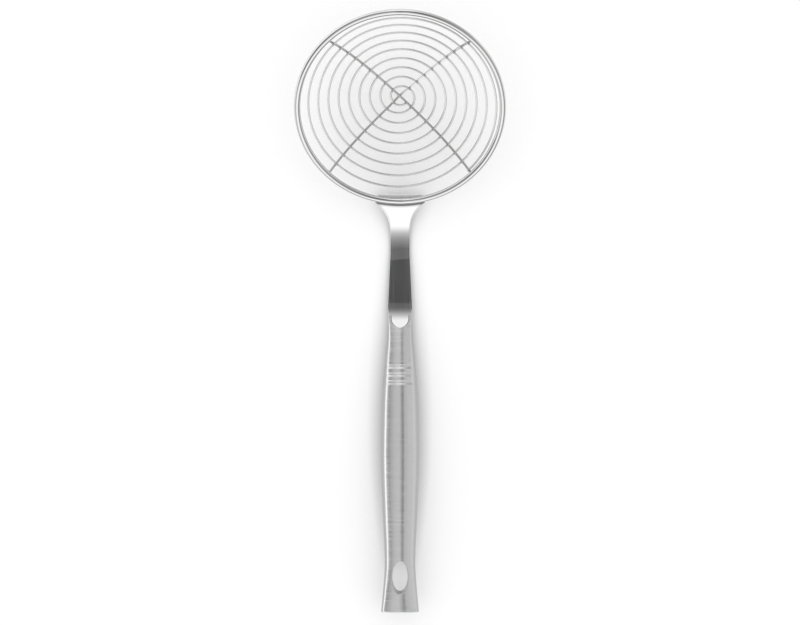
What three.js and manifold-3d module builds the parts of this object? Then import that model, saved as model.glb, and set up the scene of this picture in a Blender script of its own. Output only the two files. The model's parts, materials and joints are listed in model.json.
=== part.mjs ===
// A wire skimmer: a bowl of spiral wire in a round rim, a bent neck strip and a hollow steel handle.
// Millimetres, +Z up. It lies on a table on its handle and the bend of its neck, with the bowl towards +Y.

import * as THREE from 'three';
import { mergeVertices } from 'three/addons/utils/BufferGeometryUtils.js';
import Module from 'manifold-3d';

const wasm = await Module();
wasm.setup();

// Wire head
const rimMeanDiameter = 121;
const rimWire = 4;
const bowlDepth = 18; // rim plane to the lowest turn of the spiral
const bowlWallShare = 0.45; // share of the depth that the steep wall near the rim takes
const spiralWire = 1.3;
const spiralTurns = 9;
const spiralEyeRadius = 5.2; // round start of the spiral
const spiralStartRadius = 3; // where the even turns would start
const spiralRimGap = 3.1; // rim's wire centre to the spiral's outer end, in plan
const spiralEase = 1.04; // above 1, the turns close up towards the rim
const crossWire = 1.5;
const crossAngle = 45;
const headTilt = 26.5; // bowl's rim against the handle's axis

// Neck strip
const stripThickness = 2;
const stripDrop = 1.6; // strip's middle below the handle's seam
const neckFlat = 47.6; // handle's nose to the corner of the bend
const neckRise = 23.5; // corner of the bend to the rim
const neckBendRadius = 34;
const yokeLip = 4.4; // reach past the middle of the rim's wire
const yokeLipWidth = 26.6;
const yokeWidth = 29.8;
const flareLength = 22;
const flareEase = 2.4; // above 1, the flare widens faster towards the rim
const neckWidth = 11.8;
const neckRootWidth = 14.4;
const neckTaper = 37; // length over which the neck widens to its root
const stripChamfer = 0.4;
const plugLength = 15;
const tangLength = 33;
const tangWidth = 10;

// Handle
const handleLength = 178;
const bellyFromEnd = 92; // end to the widest place
const shoulderFromNose = 57; // nose to where the handle starts to narrow
const bellyWidth = 23;
const bellyDepth = 16.4;
const shellWall = 1;
const scoopReach = 8; // start of the scoop in front of the nose
const scoopRadius = 30;
const scoopArc = 11; // length of the round stretch, before it runs on straight
const grooveCount = 3;
const grooveFromNose = 30.6;
const groovePitch = 4.75;
const grooveWidth = 2.8;
const grooveDepth = 0.5;
const holeFromEnd = 21;
const holeWidth = 9.3;
const holeLength = 19.8;
const sleeveWall = 1;
const capThickness = 1.5;
const capSpigot = 3;

// Gaps between pieces
const weldGap = 0.2;
const fitGap = 0.3;

// Handle's shape from its end to its belly: places as shares of the way, half width, height of the front
// and depth of the back as shares of the belly's
const gripFromEnd = [
  { at: 0, half: 0.99, front: 0.61, back: 0.61 },
  { at: 0.14, half: 0.887, front: 0.66, back: 0.66 },
  { at: 0.315, half: 0.8, front: 0.73, back: 0.73 },
  { at: 0.665, half: 0.913, front: 0.9, back: 0.9 },
  { at: 1, half: 1, front: 1, back: 1 },
];

// The same from its nose back to its shoulder
const gripFromNose = [
  { at: 1, half: 0.96, front: 0.975, back: 0.975 },
  { at: 0.685, half: 0.874, front: 0.88, back: 0.89 },
  { at: 0.475, half: 0.787, front: 0.745, back: 0.793 },
  { at: 0.265, half: 0.672, front: 0.573, back: 0.72 },
  { at: 0.14, half: 0.63, front: 0.417, back: 0.66 },
  { at: 0.053, half: 0.608, front: 0.25, back: 0.615 },
  { at: 0, half: 0.597, front: 0.097, back: 0.585 },
];

const rimRadius = rimMeanDiameter / 2;
const tilt = THREE.MathUtils.degToRad(headTilt);
const stripTop = stripThickness / 2 - stripDrop;
const scoopStart = handleLength + scoopReach;

const polishedSteel = new THREE.MeshStandardMaterial({ color: 0xd2d2d2, roughness: 0.12, metalness: 1 });
const wireSteel = new THREE.MeshStandardMaterial({ color: 0xcacaca, roughness: 0.22, metalness: 1 });
const satinSteel = new THREE.MeshStandardMaterial({ color: 0xc2c2c2, roughness: 0.36, metalness: 1 });

// A closed geometry from points and triangles, turned so that its faces look out
function closedGeometry(points, faces) {
  let volume = 0;
  for (const [a, b, c] of faces) {
    volume += points[a].dot(new THREE.Vector3().crossVectors(points[b], points[c]));
  }
  const order = volume < 0 ? faces.map(([a, b, c]) => [c, b, a]) : faces;
  const geometry = new THREE.BufferGeometry();
  const places = points.flatMap((p) => p.toArray());
  geometry.setAttribute('position', new THREE.Float32BufferAttribute(places, 3));
  geometry.setIndex(order.flat());
  return geometry;
}

// A solid through a row of outlines with the same number of points; place sets an outline's point in space
function loft(outlines, place) {
  const count = outlines[0].length;
  const points = outlines.flatMap((outline, row) => outline.map((p) => place(p, row)));
  const faces = [];
  for (let row = 0; row + 1 < outlines.length; row++) {
    for (let k = 0; k < count; k++) {
      const a = row * count + k;
      const b = row * count + ((k + 1) % count);
      faces.push([a, b, b + count], [a, b + count, a + count]);
    }
  }
  const lastRow = (outlines.length - 1) * count;
  const firstCap = THREE.ShapeUtils.triangulateShape(outlines[0], []);
  const lastCap = THREE.ShapeUtils.triangulateShape(outlines.at(-1), []);
  faces.push(...firstCap.map(([a, b, c]) => [c, b, a]));
  faces.push(...lastCap.map((face) => face.map((k) => k + lastRow)));
  return closedGeometry(points, faces);
}

// A round wire along a row of points, none of which runs along Z
function wire(path, diameter, sides) {
  const outline = [];
  for (let k = 0; k < sides; k++) {
    const angle = (2 * Math.PI * k) / sides;
    outline.push(new THREE.Vector2(Math.cos(angle), Math.sin(angle)).multiplyScalar(diameter / 2));
  }
  const frames = path.map((point, row) => {
    const along = new THREE.Vector3();
    along.subVectors(path[Math.min(row + 1, path.length - 1)], path[Math.max(row - 1, 0)]).normalize();
    const across = new THREE.Vector3(0, 0, 1).cross(along).normalize();
    return { point, across, up: new THREE.Vector3().crossVectors(along, across) };
  });
  return loft(path.map(() => outline), (p, row) => {
    const { point, across, up } = frames[row];
    return point.clone().addScaledVector(across, p.x).addScaledVector(up, p.y);
  });
}

// Solids for cutting and joining
function solid(geometry) {
  const bare = geometry.clone();
  bare.deleteAttribute('normal');
  bare.deleteAttribute('uv');
  const merged = mergeVertices(bare, 1e-4);
  const mesh = new wasm.Mesh({
    numProp: 3,
    vertProperties: new Float32Array(merged.attributes.position.array),
    triVerts: new Uint32Array(merged.index.array),
  });
  return new wasm.Manifold(mesh);
}

function geometryOf(body) {
  const mesh = body.getMesh();
  const geometry = new THREE.BufferGeometry();
  geometry.setAttribute('position', new THREE.Float32BufferAttribute(mesh.vertProperties, 3));
  geometry.setIndex([...mesh.triVerts]);
  return geometry;
}

function boxSolid(low, high) {
  const size = new THREE.Vector3().subVectors(high, low);
  const middle = new THREE.Vector3().addVectors(low, high).multiplyScalar(0.5);
  return solid(new THREE.BoxGeometry(size.x, size.y, size.z).translate(middle.x, middle.y, middle.z));
}

function named(name, geometry, material) {
  const mesh = new THREE.Mesh(geometry, material);
  mesh.name = name;
  geometry.computeVertexNormals();
  return mesh;
}

// A smooth value through knots in rising order, flat where the knots turn back
function smoothThrough(knots) {
  const secants = knots.slice(1).map((k, i) => (k.value - knots[i].value) / (k.at - knots[i].at));
  const slopes = knots.map((_, i) => {
    const before = secants[i - 1];
    const after = secants[i];
    if (before === undefined || after === undefined) return before ?? after;
    return before * after <= 0 ? 0 : (2 * before * after) / (before + after);
  });
  return (at) => {
    let i = 0;
    while (i < knots.length - 2 && at > knots[i + 1].at) i++;
    const span = knots[i + 1].at - knots[i].at;
    const u = (at - knots[i].at) / span;
    const lift = u * u * (3 - 2 * u);
    const lean = span * (slopes[i] * u * (1 - u) * (1 - u) - slopes[i + 1] * u * u * (1 - u));
    return knots[i].value + (knots[i + 1].value - knots[i].value) * lift + lean;
  };
}

// Bowl: height of the spiral's middle below the rim plane, and its slope, at a radius in plan
function bowlHeight(radius) {
  const q = (radius / rimRadius) ** 2;
  return -bowlDepth * (1 - (1 - bowlWallShare) * q - bowlWallShare * q * q);
}

function bowlSlope(radius) {
  const q = (radius / rimRadius) ** 2;
  return (2 * bowlDepth * radius * (1 - bowlWallShare + 2 * bowlWallShare * q)) / rimRadius ** 2;
}

// Rim
function rimRing() {
  return new THREE.TorusGeometry(rimRadius, rimWire / 2, 8, 84);
}

// Spiral wire, wound clockwise as seen from the front, from one support wire to the same wire
function spiralPath() {
  const stepsPerTurn = 28;
  const steps = spiralTurns * stepsPerTurn;
  const endRadius = rimRadius - spiralRimGap;
  const path = [];
  for (let i = 0; i <= steps; i++) {
    const share = 1 - (1 - i / steps) ** spiralEase;
    const radius = Math.max(spiralEyeRadius, spiralStartRadius + (endRadius - spiralStartRadius) * share);
    const angle = -THREE.MathUtils.degToRad(crossAngle) - (2 * Math.PI * i) / stepsPerTurn;
    path.push(new THREE.Vector3(radius * Math.cos(angle), radius * Math.sin(angle), bowlHeight(radius)));
  }
  let leastGap = Infinity;
  for (let i = 0; i <= steps; i++) {
    for (let j = i + stepsPerTurn / 2; j <= steps; j++) {
      leastGap = Math.min(leastGap, path[i].distanceTo(path[j]) - spiralWire);
    }
  }
  console.log(`spiral_wire: least gap to itself ${leastGap.toFixed(2)} mm`);
  return path;
}

// Support wires, which run under the spiral from rim to rim
const crossOffset = (spiralWire + crossWire) / 2 + weldGap;

function crossPoint(radius) {
  const slope = Math.atan(bowlSlope(radius));
  return {
    reach: radius + crossOffset * Math.sin(slope),
    height: bowlHeight(radius) - crossOffset * Math.cos(slope),
    slope,
  };
}

function crossEndRadius() {
  let inside = 0;
  let outside = rimRadius;
  for (let i = 0; i < 40; i++) {
    const radius = (inside + outside) / 2;
    const { reach, height, slope } = crossPoint(radius);
    const ahead = (rimRadius - reach) * Math.cos(slope) - height * Math.sin(slope);
    const aside = Math.abs(-(rimRadius - reach) * Math.sin(slope) - height * Math.cos(slope));
    const distance = Math.hypot(ahead, Math.max(aside - crossWire / 2, 0));
    if (distance > rimWire / 2 + weldGap && ahead > 0) inside = radius;
    else outside = radius;
  }
  return inside;
}

function crossWirePath(angle, dip) {
  const halfSteps = 16;
  const end = crossEndRadius();
  const path = [];
  for (let i = -halfSteps; i <= halfSteps; i++) {
    const radius = (Math.abs(i) / halfSteps) * end;
    const { reach, height } = crossPoint(radius);
    const inEye = Math.max(0, 1 - (radius / (2 * spiralEyeRadius)) ** 2);
    const along = Math.sign(i) * reach;
    const low = height - dip * inEye * inEye;
    path.push(new THREE.Vector3(along * Math.cos(angle), along * Math.sin(angle), low));
  }
  return path;
}

// Neck strip: a row of places from the lip inside the rim, along the bend, to the handle's nose
const shoulder = handleLength + fitGap;
const bendCorner = handleLength + neckFlat;
const bendTangent = neckBendRadius * Math.tan(tilt / 2);
const headRun = neckRise - bendTangent;
const bendLength = neckBendRadius * tilt;
const flatRun = bendCorner - bendTangent - shoulder;

function scoopHeight(y) {
  const arc = Math.min(Math.max(scoopStart - y, 0), scoopArc);
  const straight = Math.max(scoopStart - scoopArc - y, 0);
  const rise = scoopRadius - Math.sqrt(scoopRadius ** 2 - arc ** 2);
  const slope = scoopArc / Math.sqrt(scoopRadius ** 2 - scoopArc ** 2);
  return stripTop + rise + straight * slope;
}

function neckPlace(distance) {
  const lean = THREE.MathUtils.clamp((distance - headRun) / neckBendRadius, 0, tilt);
  const turned = tilt - lean;
  const bendStartY = bendCorner + bendTangent * Math.cos(tilt);
  const bendStartZ = bendTangent * Math.sin(tilt) - stripDrop;
  if (distance <= headRun) {
    const up = headRun - distance;
    return { y: bendStartY + up * Math.cos(tilt), z: bendStartZ + up * Math.sin(tilt), turned };
  }
  const y = bendStartY - neckBendRadius * (Math.sin(tilt) - Math.sin(turned));
  const z = bendStartZ - neckBendRadius * (Math.cos(turned) - Math.cos(tilt));
  const flat = Math.max(distance - headRun - bendLength, 0);
  return { y: y - flat, z, turned };
}

function neckHalfWidth(distance) {
  if (distance < 0) return THREE.MathUtils.lerp(yokeWidth, yokeLipWidth, -distance / yokeLip) / 2;
  const flare = Math.max(1 - distance / flareLength, 0) ** flareEase;
  const rootward = (distance - headRun - bendLength - flatRun) / neckTaper + 1;
  const root = Math.max(rootward, 0) * (neckRootWidth - neckWidth);
  return (neckWidth + flare * (yokeWidth - neckWidth) + root) / 2;
}

function evenSteps(from, to, count) {
  return Array.from({ length: count }, (_, i) => from + ((to - from) * i) / count);
}

function neckBlade() {
  const bendEnd = headRun + bendLength;
  const scoopBegin = bendEnd + flatRun - (scoopStart - shoulder);
  const distances = [
    ...evenSteps(-yokeLip, 0, 2),
    ...evenSteps(0, headRun, 10),
    ...evenSteps(headRun, bendEnd, 8),
    ...evenSteps(bendEnd, scoopBegin, 4),
    ...evenSteps(scoopBegin, bendEnd + flatRun, 6),
    bendEnd + flatRun,
  ];
  const places = distances.map(neckPlace);
  const outlines = distances.map((distance, row) => {
    const half = neckHalfWidth(distance);
    const low = -stripThickness / 2;
    const top = distance > scoopBegin ? scoopHeight(places[row].y) + stripDrop : stripThickness / 2;
    const cut = stripChamfer;
    return [
      new THREE.Vector2(-half, low + cut),
      new THREE.Vector2(-half + cut, low),
      new THREE.Vector2(half - cut, low),
      new THREE.Vector2(half, low + cut),
      new THREE.Vector2(half, top - cut),
      new THREE.Vector2(half - cut, top),
      new THREE.Vector2(-half + cut, top),
      new THREE.Vector2(-half, top - cut),
    ];
  });
  return loft(outlines, (p, row) => {
    const { y, z, turned } = places[row];
    return new THREE.Vector3(p.x, y - p.y * Math.sin(turned), z + p.y * Math.cos(turned));
  });
}

// Handle: outer body, hollow, and what is cut out of them
const grip = [
  ...gripFromEnd.map((knot) => ({ ...knot, at: knot.at * bellyFromEnd })),
  ...gripFromNose.map((knot) => ({ ...knot, at: handleLength - knot.at * shoulderFromNose })),
];

function gripCurve(key, size) {
  return smoothThrough(grip.map((knot) => ({ at: knot.at, value: (knot[key] * size) / 2 })));
}

const gripHalf = gripCurve('half', bellyWidth);
const gripFront = gripCurve('front', bellyDepth);
const gripBack = gripCurve('back', bellyDepth);
const firstGroove = handleLength - grooveFromNose;
const grooveCentres = Array.from({ length: grooveCount }, (_, i) => firstGroove - i * groovePitch);

function grooveCut(y) {
  const cuts = grooveCentres.map((centre) => {
    const u = Math.min(Math.abs(y - centre) / (grooveWidth / 2), 1);
    return (grooveDepth * (1 + Math.cos(Math.PI * u))) / 2;
  });
  return Math.max(0, ...cuts);
}

// Half oval over half oval, inset from the grip's surface
function gripOutline(y, inset, leastFront) {
  const sides = 24;
  const outline = [];
  for (let k = 0; k < sides; k++) {
    const angle = (2 * Math.PI * k) / sides;
    const front = Math.max(gripFront(y) - inset, leastFront);
    const back = gripBack(y) - inset;
    const height = Math.sin(angle) > 0 ? front : back;
    outline.push(new THREE.Vector2((gripHalf(y) - inset) * Math.cos(angle), height * Math.sin(angle)));
  }
  return outline;
}

function gripLoft(stations, inset, leastFront) {
  const outlines = stations.map((y) => gripOutline(y, inset(y), leastFront));
  return loft(outlines, (p, row) => new THREE.Vector3(p.x, stations[row], p.y));
}

function gripStations() {
  const steps = 30;
  const plain = [...evenSteps(0, handleLength, steps), handleLength];
  const away = plain.filter((y) => grooveCentres.every((centre) => Math.abs(y - centre) > grooveWidth));
  const acrossGroove = [-0.5, -0.25, 0, 0.25, 0.5].map((u) => u * grooveWidth);
  const inGrooves = grooveCentres.flatMap((centre) => acrossGroove.map((step) => centre + step));
  return [...away, ...inGrooves].sort((a, b) => a - b);
}

const seamGap = fitGap / 2;
const rearEnd = capThickness + fitGap;
const reach = 2 * handleLength; // past every side of the handle

const gripBody = solid(gripLoft(gripStations(), grooveCut, 0));
const hollowMiddle = gripStations().slice(1, -1).filter((y) => grooveCut(y) === 0);
const hollowStations = [-shellWall, ...hollowMiddle, handleLength + shellWall];
const hollowBody = solid(gripLoft(hollowStations, () => shellWall, seamGap / 2));

function ovalSolid(width, length) {
  const shape = new THREE.Shape();
  shape.absellipse(0, holeFromEnd, width / 2, length / 2, 0, 2 * Math.PI);
  const through = { depth: reach, bevelEnabled: false, curveSegments: 16 };
  return solid(new THREE.ExtrudeGeometry(shape, through).translate(0, 0, -reach / 2));
}

function scoopSolid() {
  const shape = new THREE.Shape();
  const steps = 8;
  for (let i = 0; i <= steps; i++) {
    const y = scoopStart - (scoopArc * i) / steps;
    if (i === 0) shape.moveTo(y, scoopHeight(y));
    else shape.lineTo(y, scoopHeight(y));
  }
  const rear = handleLength / 2;
  shape.lineTo(rear, scoopHeight(rear));
  shape.lineTo(rear, reach);
  shape.lineTo(scoopStart, reach);
  const geometry = new THREE.ExtrudeGeometry(shape, { depth: reach, bevelEnabled: false });
  const turn = new THREE.Matrix4().makeBasis(
    new THREE.Vector3(0, 1, 0),
    new THREE.Vector3(0, 0, 1),
    new THREE.Vector3(1, 0, 0),
  );
  return solid(geometry.applyMatrix4(turn).translate(-reach / 2, 0, 0));
}

function shell(low, high) {
  const corner = new THREE.Vector3(-reach, rearEnd, low);
  const half = boxSolid(corner, new THREE.Vector3(reach, handleLength, high));
  const sleeveRoom = 2 * (sleeveWall + fitGap);
  const sleeveCut = ovalSolid(holeWidth + sleeveRoom, holeLength + sleeveRoom);
  return gripBody.subtract(hollowBody).intersect(half).subtract(sleeveCut);
}

function handleFrontShell() {
  return geometryOf(shell(seamGap, reach).subtract(scoopSolid()));
}

function handleBackShell() {
  return geometryOf(shell(-reach, -seamGap));
}

function hangHoleSleeve() {
  const outer = ovalSolid(holeWidth + 2 * sleeveWall, holeLength + 2 * sleeveWall);
  return geometryOf(outer.subtract(ovalSolid(holeWidth, holeLength)).intersect(gripBody));
}

function endCap() {
  const plate = solid(gripLoft([0, capThickness], () => 0, 0));
  const spigotInset = shellWall + fitGap;
  const spigot = solid(gripLoft([capThickness / 2, capThickness + capSpigot], () => spigotInset, 0));
  return geometryOf(plate.add(spigot));
}

// The neck's blade, with the plug that fills the nose and the tang behind it
function neckStrip() {
  const plugInset = shellWall + fitGap;
  const plugRear = handleLength - plugLength;
  const plugStations = evenSteps(plugRear, shoulder, 6);
  const plug = solid(gripLoft([...plugStations, shoulder + stripThickness / 2], () => plugInset, -seamGap));
  const tang = boxSolid(
    new THREE.Vector3(-tangWidth / 2, plugRear - tangLength, stripTop - stripThickness),
    new THREE.Vector3(tangWidth / 2, plugRear + plugLength / 2, stripTop),
  );
  return geometryOf(solid(neckBlade()).add(plug).add(tang));
}

// Wire head, in its own frame: the rim's middle at the origin, opening towards +Z
const head = new THREE.Group();
const diagonal = THREE.MathUtils.degToRad(crossAngle);
const lowerDip = crossWire + weldGap;
head.add(named('rim_ring', rimRing(), wireSteel));
head.add(named('spiral_wire', wire(spiralPath(), spiralWire, 6), wireSteel));
head.add(named('cross_wire_upper', wire(crossWirePath(-diagonal, 0), crossWire, 6), wireSteel));
head.add(named('cross_wire_lower', wire(crossWirePath(diagonal, lowerDip), crossWire, 6), wireSteel));
const rimLift = (rimWire + stripThickness) / 2 + weldGap;
const rimOut = neckRise + rimRadius;
head.rotation.x = tilt;
head.position.set(
  0,
  bendCorner + rimOut * Math.cos(tilt) - rimLift * Math.sin(tilt),
  rimOut * Math.sin(tilt) + rimLift * Math.cos(tilt) - stripDrop,
);

// Tool, with the handle's axis along Y
const neck = named('neck_strip', neckStrip(), polishedSteel);
const handle = new THREE.Group();
handle.add(named('handle_front_shell', handleFrontShell(), satinSteel));
handle.add(named('handle_back_shell', handleBackShell(), satinSteel));
handle.add(named('hang_hole_sleeve', hangHoleSleeve(), satinSteel));
handle.add(named('end_cap', endCap(), satinSteel));
const tool = new THREE.Group();
tool.add(head, neck, handle);

// Rest: the tool is pitched until the lowest points of the handle and of the rest of it are level
function lowest(object, pitch) {
  const point = new THREE.Vector3();
  let low = Infinity;
  object.traverse((node) => {
    if (!node.isMesh) return;
    const place = node.geometry.attributes.position;
    for (let i = 0; i < place.count; i++) {
      point.fromBufferAttribute(place, i).applyMatrix4(node.matrixWorld);
      low = Math.min(low, point.z * Math.cos(pitch) + point.y * Math.sin(pitch));
    }
  });
  return low;
}

tool.updateMatrixWorld(true);
let pitchDown = -tilt;
let pitchUp = tilt;
for (let i = 0; i < 40; i++) {
  const pitch = (pitchDown + pitchUp) / 2;
  const headLow = Math.min(lowest(head, pitch), lowest(neck, pitch));
  if (headLow > lowest(handle, pitch)) pitchUp = pitch;
  else pitchDown = pitch;
}
tool.rotation.x = pitchUp;
console.log(`rest pitch ${THREE.MathUtils.radToDeg(pitchUp).toFixed(2)} degrees`);

// The origin is under the middle of the skimmer, on the table
const skimmer = new THREE.Group();
skimmer.add(tool);
skimmer.updateMatrixWorld(true);
const bounds = new THREE.Box3().setFromObject(skimmer, true);
tool.position.set(0, -(bounds.min.y + bounds.max.y) / 2, -bounds.min.z);

export default skimmer;
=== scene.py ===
import json
from math import acos, asin, atan, atan2, copysign, cos, hypot, pi, radians, sin, sqrt, tan

import bmesh
import bpy
from mathutils import Matrix, Vector


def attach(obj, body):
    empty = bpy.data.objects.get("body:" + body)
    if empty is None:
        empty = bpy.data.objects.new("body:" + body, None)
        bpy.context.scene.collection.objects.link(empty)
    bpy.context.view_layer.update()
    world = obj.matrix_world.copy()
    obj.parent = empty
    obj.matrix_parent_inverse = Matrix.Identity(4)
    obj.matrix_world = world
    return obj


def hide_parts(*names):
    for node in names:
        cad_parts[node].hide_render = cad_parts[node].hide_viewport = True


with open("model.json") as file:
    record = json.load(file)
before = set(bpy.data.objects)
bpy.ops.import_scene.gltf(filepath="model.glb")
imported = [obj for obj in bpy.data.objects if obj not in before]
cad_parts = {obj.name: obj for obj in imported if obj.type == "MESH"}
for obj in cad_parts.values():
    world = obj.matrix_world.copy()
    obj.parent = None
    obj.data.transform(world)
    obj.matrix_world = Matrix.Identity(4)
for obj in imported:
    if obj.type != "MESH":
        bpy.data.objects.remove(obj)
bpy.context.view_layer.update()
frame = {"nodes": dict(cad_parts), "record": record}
print("frame loaded:", len(frame["nodes"]), "nodes")

mm = 0.001

# The skimmer's own axes: y runs from the handle's end to the bowl, z stands out of the handle's front.
endFace = frame["record"]["mounts"][0]
across = Vector((1, 0, 0))
along = -Vector(endFace["axis"]).normalized()
outward = across.cross(along)
ownAxes = (across, along, outward)
toolAxes = Matrix(ownAxes).transposed().to_4x4()
toolFrame = Matrix.Translation(endFace["pos_m"]) @ toolAxes @ Matrix.Scale(mm, 4)


# A node socket that takes part in Python sums, in shader trees and geometry trees alike.
class Sock:
    def __init__(self, tree, socket=None):
        self.tree = tree
        self.socket = socket

    def node(self, kind, settings=None, inputs=None, output=0):
        made = self.tree.nodes.new(kind)
        for key, value in (settings or {}).items():
            setattr(made, key, value)
        for key, value in (inputs or {}).items():
            if isinstance(value, Sock):
                self.tree.links.new(value.socket, made.inputs[key])
            else:
                made.inputs[key].default_value = value
        return Sock(self.tree, made.outputs[output] if len(made.outputs) else None)

    def other(self, output):
        return Sock(self.tree, self.socket.node.outputs[output])

    def maths(self, operation, *values):
        return self.node("ShaderNodeMath", {"operation": operation}, dict(enumerate(values)))

    def vectors(self, operation, *values, output=0):
        inputs = dict(enumerate(values))
        return self.node("ShaderNodeVectorMath", {"operation": operation}, inputs, output)

    def dot(self, axis):  # how far a vector reaches along an axis
        return self.vectors("DOT_PRODUCT", self, axis, output="Value")

    def xyz(self, *parts):
        return self.node("ShaderNodeCombineXYZ", inputs=dict(enumerate(parts)))

    def here(self):  # the place on a piece
        return self.node("ShaderNodeTexCoord", output="Object")

    def stored(self, label):  # a number that a mesh keeps for its finish
        return self.node("ShaderNodeAttribute", {"attribute_name": label}, output="Fac")

    def rise(self, low, high):  # 0 below low, 1 above high, smooth between
        settings = {"interpolation_type": "SMOOTHSTEP"}
        values = {"Value": self, "From Min": low, "From Max": high}
        return self.node("ShaderNodeMapRange", settings, values)

    def band(self, start, end):  # rises between the first two places, falls between the last two
        return self.rise(*start) * (1 - self.rise(*end))

    def __add__(self, value):
        return self.maths("ADD", self, value)

    __radd__ = __add__

    def __sub__(self, value):
        return self.maths("SUBTRACT", self, value)

    def __rsub__(self, value):
        return self.maths("SUBTRACT", value, self)

    def __mul__(self, value):
        return self.maths("MULTIPLY", self, value)

    __rmul__ = __mul__

    def __truediv__(self, value):
        return self.maths("DIVIDE", self, value)

    def __pow__(self, value):
        return self.maths("POWER", self, value)

    def __abs__(self):
        return self.maths("ABSOLUTE", self)


def mixed(first, second, share):  # of sockets or of numbers
    return first + (second - first) * share


def grey(net, shade):
    return net.node("ShaderNodeCombineColor", inputs={"Red": shade, "Green": shade, "Blue": shade})


def newMaterial(name):
    material = bpy.data.materials.new(name)
    material.use_nodes = True
    material.node_tree.nodes.clear()
    return material, Sock(material.node_tree)


def placed(name, data):
    thing = bpy.data.objects.new(name, data)
    bpy.context.scene.collection.objects.link(thing)
    return thing


# Camera, as the photograph was taken: straight down on the handle, whose axis is the middle column.
shot = {
    "imageWidth": 800,
    "middleRow": 179.7,  # mm from the handle's end to the middle of the image
    "mmPerPixel": 0.6,
    "distance": 1800,
    "sensor": 36,
}


def makeCamera():
    data = bpy.data.cameras.new("photo_camera")
    data.sensor_width = shot["sensor"]
    data.lens = shot["sensor"] * shot["distance"] / (shot["imageWidth"] * shot["mmPerPixel"])
    camera = placed("photo_camera", data)
    eye = toolFrame @ Vector((0, shot["middleRow"], shot["distance"]))
    camera.matrix_world = Matrix.Translation(eye) @ toolAxes
    bpy.context.scene.camera = camera


makeCamera()
bpy.context.scene.view_settings.view_transform = "Standard"

# Studio: a white tent with a dark opening for the camera. Angles are in degrees from straight above.
studio = {
    "plain": 1.12,  # even light on matt things
    "opening": 0.88,  # share of light that the opening takes away
    "openingAcross": 0.9,
    "openingAlong": (4, 44),
    "lens": 0.15,  # darker middle of the opening
    "lensSize": 3,
    "gap": 0.68,  # dark gap between two panels, right of the camera
    "gapFade": (-5, 12),
    "gapEdge": (15, 22),
    "rightPanel": 0.34,  # how much darker the right panel starts, and how much of that it loses
    "rightFade": (22, 50),
    "rightGain": 0.55,
    "leftPanel": 0.26,  # the left panel starts darker too, falls off, and dips before the low lamp
    "leftFrom": (-2, 8),
    "leftFall": 0.2,
    "leftFade": (20, 48),
    "leftDip": 0.15,
    "leftDipFrom": (40, 56),
    "leftDipTo": (62, 72),
    "panelEnds": (30, 50),  # how far along the handle the panels and their gap reach
    "ends": 0.42,  # extra light past the handle's end and past the bowl
    "endsFrom": (30, 52),
    "endsTo": (70, 84),
    "endsAcross": (10, 40),
    "sideLamp": 1.0,  # low strip lamp on the left
    "sideLampTop": (8, 17),
    "sideLampFrom": (0.25, 0.6),
    "corner": 0.6,  # shaded corner, low behind the bowl on the right
    "cornerFrom": (1.0, 1.35),
    "cornerTop": (25, 55),
    "cornerBack": (0.35, 0.55),
    "flag": 0.25,  # dark flag, right of the handle
    "flagAt": (0.665, -0.666, 0.337),
    "flagSize": (24, 12),
}


def studioWorld():
    world = bpy.data.worlds.new("studio")
    world.use_nodes = True
    tree = world.node_tree
    tree.nodes.clear()
    net = Sock(tree)
    look = net.node("ShaderNodeTexCoord", output="Generated")

    def fade(measure, key):
        return measure.rise(*studio[key])

    def spot(angle, size):  # 1 in the middle, fading out
        return net.maths("EXPONENT", (angle / size) ** 2 * -1)

    side, length, height = (look.dot(axis) for axis in ownAxes)
    toDegrees = 180 / pi
    right = net.maths("ARCTAN2", side, height) * toDegrees
    left = right * -1
    ahead = abs(net.maths("ARCTAN2", length, height)) * toDegrees
    lift = net.maths("ARCSINE", height) * toDegrees

    narrow = spot(right, studio["openingAcross"])
    opening = 1 - studio["opening"] * narrow * (1 - fade(ahead, "openingAlong"))
    lens = 1 - studio["lens"] * narrow * spot(ahead, studio["lensSize"])

    pastEdge = fade(right, "gapEdge")
    gap = studio["gap"] * fade(right, "gapFade") * (1 - pastEdge)
    rightGain = studio["rightGain"] * fade(right, "rightFade")
    rightPanel = studio["rightPanel"] * pastEdge * (1 - rightGain)
    leftPanel = studio["leftPanel"] * fade(left, "leftFrom")
    leftFall = studio["leftFall"] * fade(left, "leftFade")
    leftDip = studio["leftDip"] * left.band(studio["leftDipFrom"], studio["leftDipTo"])
    leftPanel = leftPanel + leftFall + leftDip
    beside = 1 - fade(ahead, "panelEnds")
    panels = (1 - gap * beside) * (1 - rightPanel * beside) * (1 - leftPanel * beside)

    ends = studio["ends"] * ahead.band(studio["endsFrom"], studio["endsTo"])
    ends = ends * (1 - fade(abs(right), "endsAcross"))
    lamp = studio["sideLamp"] * fade(side * -1, "sideLampFrom")
    lamp = lamp * (1 - fade(lift, "sideLampTop"))
    corner = fade(side + length, "cornerFrom") * fade(length, "cornerBack")
    corner = 1 - studio["corner"] * corner * (1 - fade(lift, "cornerTop"))
    flagMiddle = toolAxes.to_3x3() @ Vector(studio["flagAt"]).normalized()
    flagEdge = [cos(radians(angle)) for angle in studio["flagSize"]]
    flag = 1 - studio["flag"] * look.dot(flagMiddle).rise(*flagEdge)
    light = (1 + ends) * opening * lens * panels * corner * flag + lamp

    path = net.node("ShaderNodeLightPath", output="Is Camera Ray")
    strength = mixed(light, 1, path)
    strength = mixed(strength, studio["plain"], path.other("Is Diffuse Ray"))
    back = net.node("ShaderNodeBackground", inputs={"Color": (1, 1, 1, 1), "Strength": strength})
    net.node("ShaderNodeOutputWorld", inputs={"Surface": back})
    bpy.context.scene.world = world


studioWorld()

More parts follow.
